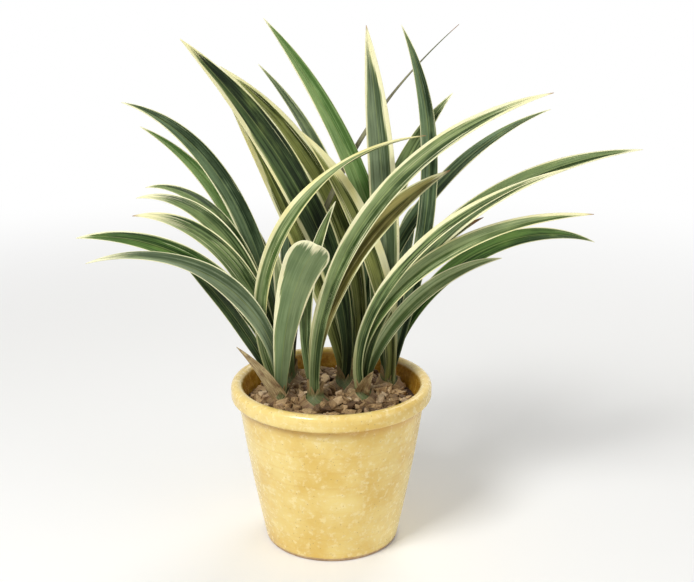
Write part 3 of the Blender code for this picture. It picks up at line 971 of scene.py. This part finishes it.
def build_pot():
    body = add_object("rough_pot", turned_mesh("rough_pot", pot_profile(), POT_TURN))
    drills = bmesh.new()
    for hole in range(DRAIN_HOLES):
        place = bearing(45 + 360 * hole / DRAIN_HOLES) * DRAIN_CIRCLE_RADIUS
        made = bmesh.ops.create_cone(drills, cap_ends=True, segments=32, radius1=DRAIN_HOLE_RADIUS,
                                     radius2=DRAIN_HOLE_RADIUS, depth=4 * BASE_THICKNESS)
        bmesh.ops.translate(drills, verts=made["verts"], vec=place)
    drill = add_object("drill", mesh_of("drill", drills))
    body.modifiers.new("drain holes", "BOOLEAN").object = drill  # it cuts the drill out of the pot
    mesh = evaluated_mesh(body)
    bpy.data.objects.remove(drill)
    mesh.set_sharp_from_angle(angle=math.radians(50))
    keep("glazed_pot", mesh, [glaze_material()], "pot")


# ---- potting mix
MIX_TURN = 120
MIX_RINGS = 44
MIX_UNDER_CHIPS = 0.0035  # the fine mix lies this far under the chips' level
LOOSE = [  # name, count, tries, seed, and ranges of half the length, width and thickness
    ("bark_crumbs", 420, 900, 5, ((0.0018, 0.004), (0.0012, 0.0026), (0.0008, 0.0016))),
    ("bark_chips", 420, 1700, 11, ((0.0045, 0.0095), (0.0026, 0.0054), (0.0015, 0.0034))),
    ("grit_stones", 90, 900, 23, ((0.003, 0.0052), (0.0026, 0.0042), (0.002, 0.0032))),
]
LUMP_HEIGHT = 0.0016
LUMPS_PER_METRE = 95
CHIP_POINTS = 13
CHIP_BEVEL = 0.22  # this and the next are shares of half a chip's thickness
CHIP_ROUGHNESS = 0.18
CHIP_TILT = 0.16  # radians, the spread of how chips lie
CHIP_SINKS = 0.55  # share of a chip's lower points that may lie in the heap
HEAP_CELL = 0.0015  # cell of the height map that the chips are laid on
HEAP_MOST = 0.004  # the chips lie no higher than this over the mix's level
COLLAR = 0.0055  # and this much higher round the bulbs
COLLAR_REACH = 0.021  # from a bulb's middle


def fine_mix_material():
    """Dark crumbled bark between the chips."""
    tree = material("fine_bark_mix")
    grain = tree.noise(tree.place(), 420, detail=5, roughness=0.7)
    clump = tree.noise(tree.place(), 90, detail=3)
    colour = tree.tint((40, 26, 18), (104, 74, 50), grain, 0.35, 0.7)
    colour = tree.tint(colour, (62, 42, 30), clump, 0.4, 0.7, 0, 0.6)
    tree.bump(grain + clump, 0.0016, 0.9)
    return tree.finish(colour, grain.remap(0.3, 0.7, 0.78, 0.95))


def chip_material():
    """Bark: layered red-brown to tan, each chip in its own tone. "run" lies along its grain."""
    tree = material("bark_chip")
    along, across = tree.uv("run")
    tone, pale = tree.uv("edges")
    layer = tree.noise(tree.combine(along * 1.6, across * 11, tone), detail=5, roughness=0.65)
    grit = tree.noise(tree.place(), 700, detail=3)
    dark = tree.mix(tone, (54, 38, 22), (136, 102, 62))
    light = tree.mix(tone, (112, 84, 52), (204, 172, 122))
    colour = tree.tint(dark, light, layer, 0.35, 0.65)
    colour = tree.tint(colour, (216, 186, 140), pale, 0.62, 0.95, 0, 0.85)
    colour = tree.tint(colour, (66, 42, 30), grit, 0.5, 0.75, 0, 0.4)
    tree.bump(layer + grit * 0.4, 0.0009, 0.9)
    return tree.finish(colour, layer.remap(0.3, 0.7, 0.72, 0.92))


def stone_material():
    """Angular pinkish and beige grit."""
    tree = material("grit_stone")
    tone, pale = tree.uv("edges")
    grain = tree.noise(tree.place(), 520, detail=5, roughness=0.7)
    colour = tree.mix(tone, (188, 158, 120), (222, 204, 166))
    colour = tree.mix(pale * 0.6, colour, (156, 120, 84))
    colour = tree.tint(colour, (124, 92, 70), grain, 0.42, 0.7, 0, 0.7)
    tree.bump(grain, 0.0008, 0.9)
    return tree.finish(colour, grain.remap(0.3, 0.7, 0.7, 0.9))


def build_fine_mix():
    edge = inner_radius(MIX_LEVEL) - GAP
    wall_foot = inner_radius(BASE_THICKNESS + BASE_FILLET) - GAP
    floor = BASE_THICKNESS + GAP
    profile = [(edge * ring / MIX_RINGS, mix_height(edge * ring / MIX_RINGS) - MIX_UNDER_CHIPS)
               for ring in range(MIX_RINGS + 1)]
    profile += [(wall_foot, BASE_THICKNESS + BASE_FILLET),
                (wall_foot - BASE_FILLET * 0.3, floor + BASE_FILLET * 0.3),
                (wall_foot - BASE_FILLET, floor), (0, floor)]
    mesh = turned_mesh("fine_mix", profile, MIX_TURN)
    lowest_top = MIX_LEVEL - MIX_UNDER_CHIPS - GAP
    for vert in mesh.vertices:
        if vert.co.z > lowest_top:
            vert.co.z += LUMP_HEIGHT * noise.fractal(vert.co * LUMPS_PER_METRE, 1, 2, 4)
    keep("fine_mix", mesh, [fine_mix_material()], "potting_mix")


class Heap:
    """The height of what is already laid, on a grid over the pot's mouth."""

    def __init__(self):
        self.edge = inner_radius(MIX_LEVEL) - GAP
        self.height = {}

    def cell(self, x, y):
        return int((x + self.edge) / HEAP_CELL), int((y + self.edge) / HEAP_CELL)

    def level(self, x, y):
        base = mix_height(math.hypot(x, y)) - MIX_UNDER_CHIPS
        return max(self.height.get(self.cell(x, y), 0), base)

    def raise_to(self, x, y, z):
        cell = self.cell(x, y)
        self.height[cell] = max(self.height.get(cell, 0), z)


def flake(chance, size):
    """The convex hull of random points of a flat angular flake, bevelled and a little rough."""
    made = bmesh.new()
    for _ in range(CHIP_POINTS):
        way = chance.uniform(0, math.tau)
        reach = chance.uniform(0.72, 1)
        z = chance.choice((-1, 1)) * chance.uniform(0.55, 1)
        made.verts.new((math.cos(way) * reach * size[0], math.sin(way) * reach * size[1], z * size[2]))
    hull = bmesh.ops.convex_hull(made, input=made.verts)
    loose = {item for item in hull["geom_interior"] + hull["geom_unused"]
             if isinstance(item, bmesh.types.BMVert)}
    bmesh.ops.delete(made, geom=list(loose), context="VERTS")
    bmesh.ops.dissolve_limit(made, angle_limit=math.radians(12), verts=made.verts, edges=made.edges)
    bmesh.ops.bevel(made, geom=list(made.edges), offset=size[2] * CHIP_BEVEL, segments=2, affect="EDGES",
                    profile=0.6, clamp_overlap=True)
    bmesh.ops.triangulate(made, faces=made.faces)
    for vert in made.verts:
        vert.co += vert.normal * noise.noise(vert.co * 600) * size[2] * CHIP_ROUGHNESS
    return made


def lay(heap, shape, chance, made, size, bulbs):
    """Lays one loose piece on the heap, and adds it to the shape. False where there is no room."""
    reach = max(size[:2])
    radius = math.sqrt(chance.random()) * (heap.edge - reach * 0.8)
    way = chance.uniform(0, math.tau)
    x, y = radius * math.cos(way), radius * math.sin(way)
    near = min(math.hypot(x - bulb.x, y - bulb.y) for bulb in bulbs)
    if near < BULB_RADIUS - 0.001:
        return False
    tilt = (chance.gauss(0, CHIP_TILT), chance.gauss(0, CHIP_TILT))
    spin = Euler((*tilt, chance.uniform(0, math.tau))).to_matrix()
    for vert in made.verts:
        vert.co = spin @ vert.co
    under = sorted(heap.level(x + vert.co.x, y + vert.co.y) - vert.co.z
                   for vert in made.verts if vert.co.z < 0)
    z = under[int(len(under) * CHIP_SINKS)]
    top = max(vert.co.z for vert in made.verts) + z
    most = HEAP_MOST + (COLLAR if near < COLLAR_REACH else 0)
    if top > mix_height(radius) + most or radius + reach > heap.edge:
        return False
    run, tone = uv_maps(shape)
    shift = (chance.uniform(0, 40), chance.uniform(0, 40))
    hue = (chance.random(), chance.random())
    back = spin.inverted()
    verts = {vert: shape.verts.new(vert.co + Vector((x, y, z))) for vert in made.verts}
    for face in made.faces:
        copy = shape.faces.new([verts[vert] for vert in face.verts])
        for loop, vert in zip(copy.loops, face.verts):
            local = back @ vert.co * 100
            loop[run].uv = (local.x + shift[0], local.y + local.z + shift[1])
            loop[tone].uv = hue
    for vert in made.verts:
        heap.raise_to(x + vert.co.x, y + vert.co.y, z + vert.co.z)
    return True


def build_loose(name, count, tries, seed, spans, finish, heap, bulbs):
    """Chips or stones, laid one after another, as one piece of separate closed bodies."""
    chance = random.Random(seed)
    shape = bmesh.new()
    laid = 0
    for _ in range(tries):
        size = [chance.uniform(low, high) for low, high in spans]
        made = flake(chance, size)
        laid += lay(heap, shape, chance, made, size, bulbs)
        made.free()
        if laid == count:
            break
    mesh = mesh_of(name, shape)
    mesh.set_sharp_from_angle(angle=math.radians(42))
    keep(name, mesh, [finish])


def build_mix():
    build_fine_mix()
    heap = Heap()
    bulbs = [bulb_centre(growth) for growth in GROWTHS]
    bark = chip_material()
    for row, finish in zip(LOOSE, (bark, bark, stone_material())):
        build_loose(*row, finish, heap, bulbs)


# ---- floor, light and camera
FLOOR_RADIUS = 6
FLOOR_COLOUR = (243.4, 243.4, 242.2)
FLOOR_FADE = (0.5, 1.6)  # the floor turns to plain white between these ways from the plant
SOFT_LIGHT = 0.34
LAMPS = [  # name, place, watts, size
    ("key", (-0.9, -1.1, 1.7), 33, 0.7),
    ("fill", (1.5, -0.9, 0.7), 5, 1.2),
    ("back", (0.6, 1.3, 1.6), 12, 1),
]


def build_stage():
    """A pale floor that keeps the shadow and fades into a white surround."""
    shape = bmesh.new()
    bmesh.ops.create_circle(shape, cap_ends=True, segments=96, radius=FLOOR_RADIUS)
    tree = material("pale_floor")
    x, y, _ = tree.split(tree.place())
    away = tree.math("SQRT", x * x + y * y)
    finish = tree.finish(FLOOR_COLOUR, 0.9)
    tree.whiten(tree.seen() * away.remap(*FLOOR_FADE), "Emission", "Material Output")
    add_object("floor", mesh_of("floor", shape), finish)


def build_light():
    """Soft light from all round, seen as plain white, and three area lamps."""
    world = bpy.data.worlds.new("studio")
    bpy.context.scene.world = world
    tree = Tree(world, "Background")
    tree.shader.inputs["Color"].default_value = (1, 0.985, 0.96, 1)
    tree.shader.inputs["Strength"].default_value = SOFT_LIGHT
    tree.whiten(tree.seen(), "Background", "World Output")
    middle = (CAD_BOX[0] + CAD_BOX[1]) / 2
    for name, place, power, size in LAMPS:
        lamp = bpy.data.lights.new(name, "AREA")
        lamp.energy = power
        lamp.size = size
        obj = add_object(name, lamp)
        obj.location = place
        obj.rotation_euler = (Vector(place) - middle).to_track_quat("Z", "Y").to_euler()


CAMERA_ELEVATION = 21  # degrees above the pot's rim
CAMERA_DISTANCE = 1  # from the middle of the rim
CAMERA_AIM = Vector((0.014, 0, 0.232))
CAMERA_LENS = 57.5


def build_camera():
    camera = add_object("camera", bpy.data.cameras.new("camera"))
    rise = math.radians(CAMERA_ELEVATION)
    camera.location = Vector((0, -math.cos(rise), math.sin(rise))) * CAMERA_DISTANCE + UP * POT_HEIGHT
    camera.rotation_euler = (camera.location - CAMERA_AIM).to_track_quat("Z", "Y").to_euler()
    camera.data.lens = CAMERA_LENS
    camera.data.sensor_width = 36
    bpy.context.scene.camera = camera


def main():
    build_pot()
    build_mix()
    bulb_skin = bulb_material()
    bract_skins = bract_material("dry_leaf_base", True), bract_material("green_leaf_base", False)
    for growth in GROWTHS:
        build_bulb(growth, bulb_skin)
        build_bracts(growth, bract_skins)
    build_fans()
    build_stage()
    build_light()
    build_camera()
    bpy.context.scene.view_settings.view_transform = "Standard"


main()
